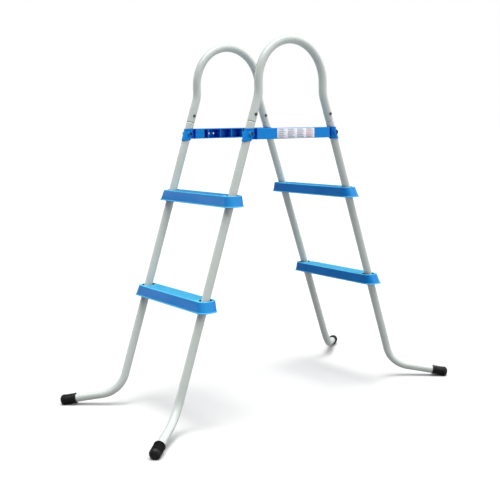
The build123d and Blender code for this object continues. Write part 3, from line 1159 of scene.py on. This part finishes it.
    def build_bolts(self, group: str) -> None:
        """Bolts and nuts of one kind of joint.

        Args:
            group: First word of the CAD nodes' names.
        """
        for low, high in solids(f"{group}_bolts"):
            middle = (low + high) / 2
            outward = Vector((0, sign(middle.y), 0))
            seat = middle + outward * ((high.y - low.y) / 2 - self.head_thick)
            self.add(f"{group}_bolt_{corner_word(middle)}", self.bolt(high.y - low.y), f"{group}_bolts",
                     facing(seat, outward))
        for low, high in solids(f"{group}_nuts"):
            middle = (low + high) / 2
            inward = Vector((0, -sign(middle.y), 0))
            place = facing(middle - inward * self.nut_thick / 2, inward, self.nut_turn)
            self.add(f"{group}_nut_{corner_word(middle)}", self.nut(), f"{group}_nuts", place)

    def build_washers(self) -> None:
        """Washers under the heads and nuts in the bosses of the side bars."""
        bolts = solids("bar_bolts")
        axis_y = sum(abs(low.y + high.y) / 2 for low, high in bolts) / len(bolts)
        for low, high in solids("bar_washers"):
            middle = (low + high) / 2
            face = "outer" if abs(middle.y) > axis_y else "inner"
            mesh = self.washer((high.z - low.z) / 2, high.y - low.y)
            self.add(f"bar_washer_{corner_word(middle)}_{face}", mesh, "bar_washers",
                     facing(middle, Vector((0, 1, 0))))

    def build_screws(self) -> None:
        """Cross-head screws in the treads' inner faces, each stopped at its own angle."""
        chance = random.Random(self.seed)
        screws = solids("tread_screws")
        split = sum(low.z for low, high in screws) / len(screws)
        for low, high in screws:
            middle = (low + high) / 2
            level = Level.UPPER if low.z > split else Level.LOWER
            inward = Vector((-sign(middle.x), 0, 0))
            seat = middle + inward * ((high.x - low.x) / 2 - self.screw_head)
            self.add(f"tread_screw_{level.word}_{corner_word(middle)}", self.screw(high.x - low.x),
                     "tread_screws", facing(seat, inward, chance.uniform(0, pi / 2)))

    def build(self) -> None:
        """Build every fastener."""
        for group in ("joint", "bar"):
            self.build_bolts(group)
        self.build_washers()
        self.build_screws()


@dataclass(frozen=True)
class Label:
    """Adhesive film on the near side bar, printed with four plain panels of stripes and dots."""

    panels: int = 4
    corner: float = 1.6 * MM
    side_margin: float = 4 * MM
    end_margin: float = 1.6 * MM
    panel_gap: float = 6 * MM
    panel_corner: float = 0.6 * MM
    panel_raise: float = 0.05 * MM
    ink_raise: float = 0.1 * MM
    blocks: int = 5
    block_pitch: float = 5.7 * MM
    block_rows: int = 2
    stripe_pitch: float = 1.75 * MM
    stripe_thick: float = 1.05 * MM
    stripe_margin: float = 1.0 * MM
    stripe_shares: Span = (0.62, 1.0)
    dot: float = 2.8 * MM
    dot_place: float = 3.78 * MM
    red_blocks: tuple[int, ...] = (1, 2, 3)
    seed: int = 31

    def build(self) -> None:
        """Build the film, the panels and the ink."""
        low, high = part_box("label_panel")
        middle = Vector(((low.x + high.x) / 2, high.y, (low.z + high.z) / 2))
        width, height, thick = high.x - low.x, high.z - low.z, high.y - low.y
        film = bmesh.new()
        add_plate(film, middle, (width, height), thick, self.corner)
        add_piece("label_film", film, FILM_BASE, "label_panel")

        panel_w = (width - 2 * self.side_margin - (self.panels - 1) * self.panel_gap) / self.panels
        panel_h = height - 2 * self.end_margin
        blocks, grey, red = bmesh.new(), bmesh.new(), bmesh.new()
        chance = random.Random(self.seed)
        for i in range(self.panels):
            x = low.x + self.side_margin + panel_w / 2 + i * (panel_w + self.panel_gap)
            at = Vector((x, low.y + thick / 2, middle.z))
            add_plate(blocks, at, (panel_w, panel_h), thick / 2 + self.panel_raise, self.panel_corner)
            self.print_panel(at, (panel_w, panel_h), thick / 2 + self.ink_raise, grey,
                             red if i == self.panels - 1 else grey, chance)
        for name, mesh, finish in (("label_panels", blocks, FILM_PANEL), ("label_ink_grey", grey, INK_GREY),
                                   ("label_ink_red", red, INK_RED)):
            add_piece(name, mesh, finish, "label_panel")

    def print_panel(self, at: Vector, size: tuple[float, float], thick: float, ink: BMesh,
                    accent: BMesh, chance: random.Random) -> None:
        """Print one panel: blocks of stripes, each with a dot at its left.

        Args:
            at: Middle of the panel, inside the film.
            size: The panel's width and height.
            thick: Depth of the ink from there.
            ink: Mesh of the plain ink.
            accent: Mesh of the ink in the accent blocks.
            chance: Source of the stripes' lengths.
        """
        left = at.x - size[0] / 2 + self.stripe_margin
        room = size[0] - 2 * self.stripe_margin - self.dot_place
        for block in range(self.blocks):
            mesh = accent if block in self.red_blocks else ink
            z = at.z + ((self.blocks - 1) / 2 - block) * self.block_pitch
            add_plate(mesh, Vector((left + self.dot / 2, at.y, z)), (self.dot, self.dot), thick, self.dot / 2)
            for row in range(self.block_rows):
                length = room * chance.uniform(*self.stripe_shares)
                middle_x = left + self.dot_place + length / 2
                row_z = z + ((self.block_rows - 1) / 2 - row) * self.stripe_pitch
                add_plate(mesh, Vector((middle_x, at.y, row_z)), (length, self.stripe_thick), thick,
                          self.stripe_thick / 2)


# ---- the studio ----
@dataclass(frozen=True)
class Lobe:
    """A brighter part of the sky, strongest where it points."""

    toward: Triple
    strength: float
    start: float  # cosine of the angle from its middle at which it begins


@dataclass(frozen=True)
class SoftSun:
    """A wide distant light, shining down with a turn about X and Y."""

    name: str
    strength: float
    spread: float
    tilt: Span = (0.0, 0.0)

    def build(self) -> None:
        """Add the light."""
        data = bpy.data.lights.new(self.name, "SUN")
        data.energy = self.strength
        data.angle = self.spread
        light = bpy.data.objects.new(self.name, data)
        light.rotation_euler = (*self.tilt, 0.0)
        bpy.context.scene.collection.objects.link(light)


@dataclass(frozen=True)
class Studio:
    """Plain pale floor, soft overhead light, and the camera."""

    eye: Triple = (-1.6491, -2.1407, 0.8904)
    yaw: float = radians(36.8665)
    pitch: float = radians(8.7061)
    roll: float = radians(-0.8479)
    lens_mm: float = 59.67
    sensor_mm: float = 36.0
    far_clip: float = 200.0
    floor_half: float = 60.0
    floor_shade: Colour = (0.64, 0.64, 0.64, 1.0)
    floor_bounce: Colour = (0.30, 0.30, 0.30, 1.0)
    sky_shade: Colour = (1.0, 1.0, 1.0, 1.0)
    fill: float = 0.17
    paper: float = 1.0
    lobes: tuple[Lobe, ...] = (
        Lobe(toward=(0.84, -0.46, 0.25), strength=1.5, start=0.0),
        Lobe(toward=(-0.53, 0.835, 0.14), strength=2.4, start=0.93),
    )
    suns: tuple[SoftSun, ...] = (
        SoftSun("overhead_light", 3.3, radians(60), (radians(5), radians(-8))),
        SoftSun("crown_light", 0.8, radians(14)),
    )

    def build(self) -> None:
        """Build the floor, the sky, the lights and the camera."""
        self.build_floor()
        self.build_sky()
        for sun in self.suns:
            sun.build()
        self.build_camera()
        bpy.context.scene.view_settings.view_transform = "Standard"

    def build_floor(self) -> None:
        """Wide pale floor, which throws back less light than it shows."""
        half = self.floor_half
        data = bpy.data.meshes.new("floor")
        data.from_pydata([(-half, -half, 0), (half, -half, 0), (half, half, 0), (-half, half, 0)], [],
                         [(0, 1, 2, 3)])
        paper = Surface("studio_floor")
        seen = paper.add("ShaderNodeLightPath").outputs["Is Camera Ray"]
        paper.put("Base Color", paper.mix(seen, self.floor_bounce, self.floor_shade))
        paper.put("Roughness", 1.0)
        paper.put("Specular IOR Level", 0.0)
        data.materials.append(paper.material)
        floor = bpy.data.objects.new("floor", data)
        bpy.context.scene.collection.objects.link(floor)

    def build_sky(self) -> None:
        """Soft sky with two brighter parts, which itself shows as white paper."""
        world = bpy.data.worlds.new("studio")
        world.use_nodes = True
        bpy.context.scene.world = world
        sheet = Sheet(world.node_tree)
        back = world.node_tree.nodes["Background"]
        back.inputs["Color"].default_value = self.sky_shade
        seen = sheet.add("ShaderNodeLightPath").outputs["Is Camera Ray"]
        light: Source = self.fill
        for lobe in self.lobes:
            toward = sheet.along(sheet.add("ShaderNodeTexCoord").outputs["Generated"], lobe.toward)
            light = sheet.remap(toward, lobe.start, 1.0, light, lobe.strength)
        sheet.feed(back.inputs["Strength"], sheet.mix_values(seen, light, self.paper))

    def build_camera(self) -> None:
        """Camera at standing height, in front of the left flight."""
        data = bpy.data.cameras.new("camera")
        data.lens = self.lens_mm
        data.sensor_width = self.sensor_mm
        data.clip_end = self.far_clip
        camera = bpy.data.objects.new("camera", data)
        bpy.context.scene.collection.objects.link(camera)
        bpy.context.scene.camera = camera
        turn = (Matrix.Rotation(-self.yaw, 4, "Z") @ Matrix.Rotation(pi / 2 - self.pitch, 4, "X")
                @ Matrix.Rotation(self.roll, 4, "Z"))
        camera.matrix_world = Matrix.Translation(self.eye) @ turn


def main() -> None:
    """Build the ladder's looks, then the studio."""
    logging.basicConfig(level=logging.INFO, format="%(name)s: %(message)s")
    for part in (TubeFrame(), Mouldings(), FootCaps(), Hardware(), Label()):
        part.build()
        log.info("%s done", type(part).__name__)
    Studio().build()


if __name__ == "__main__":
    main()
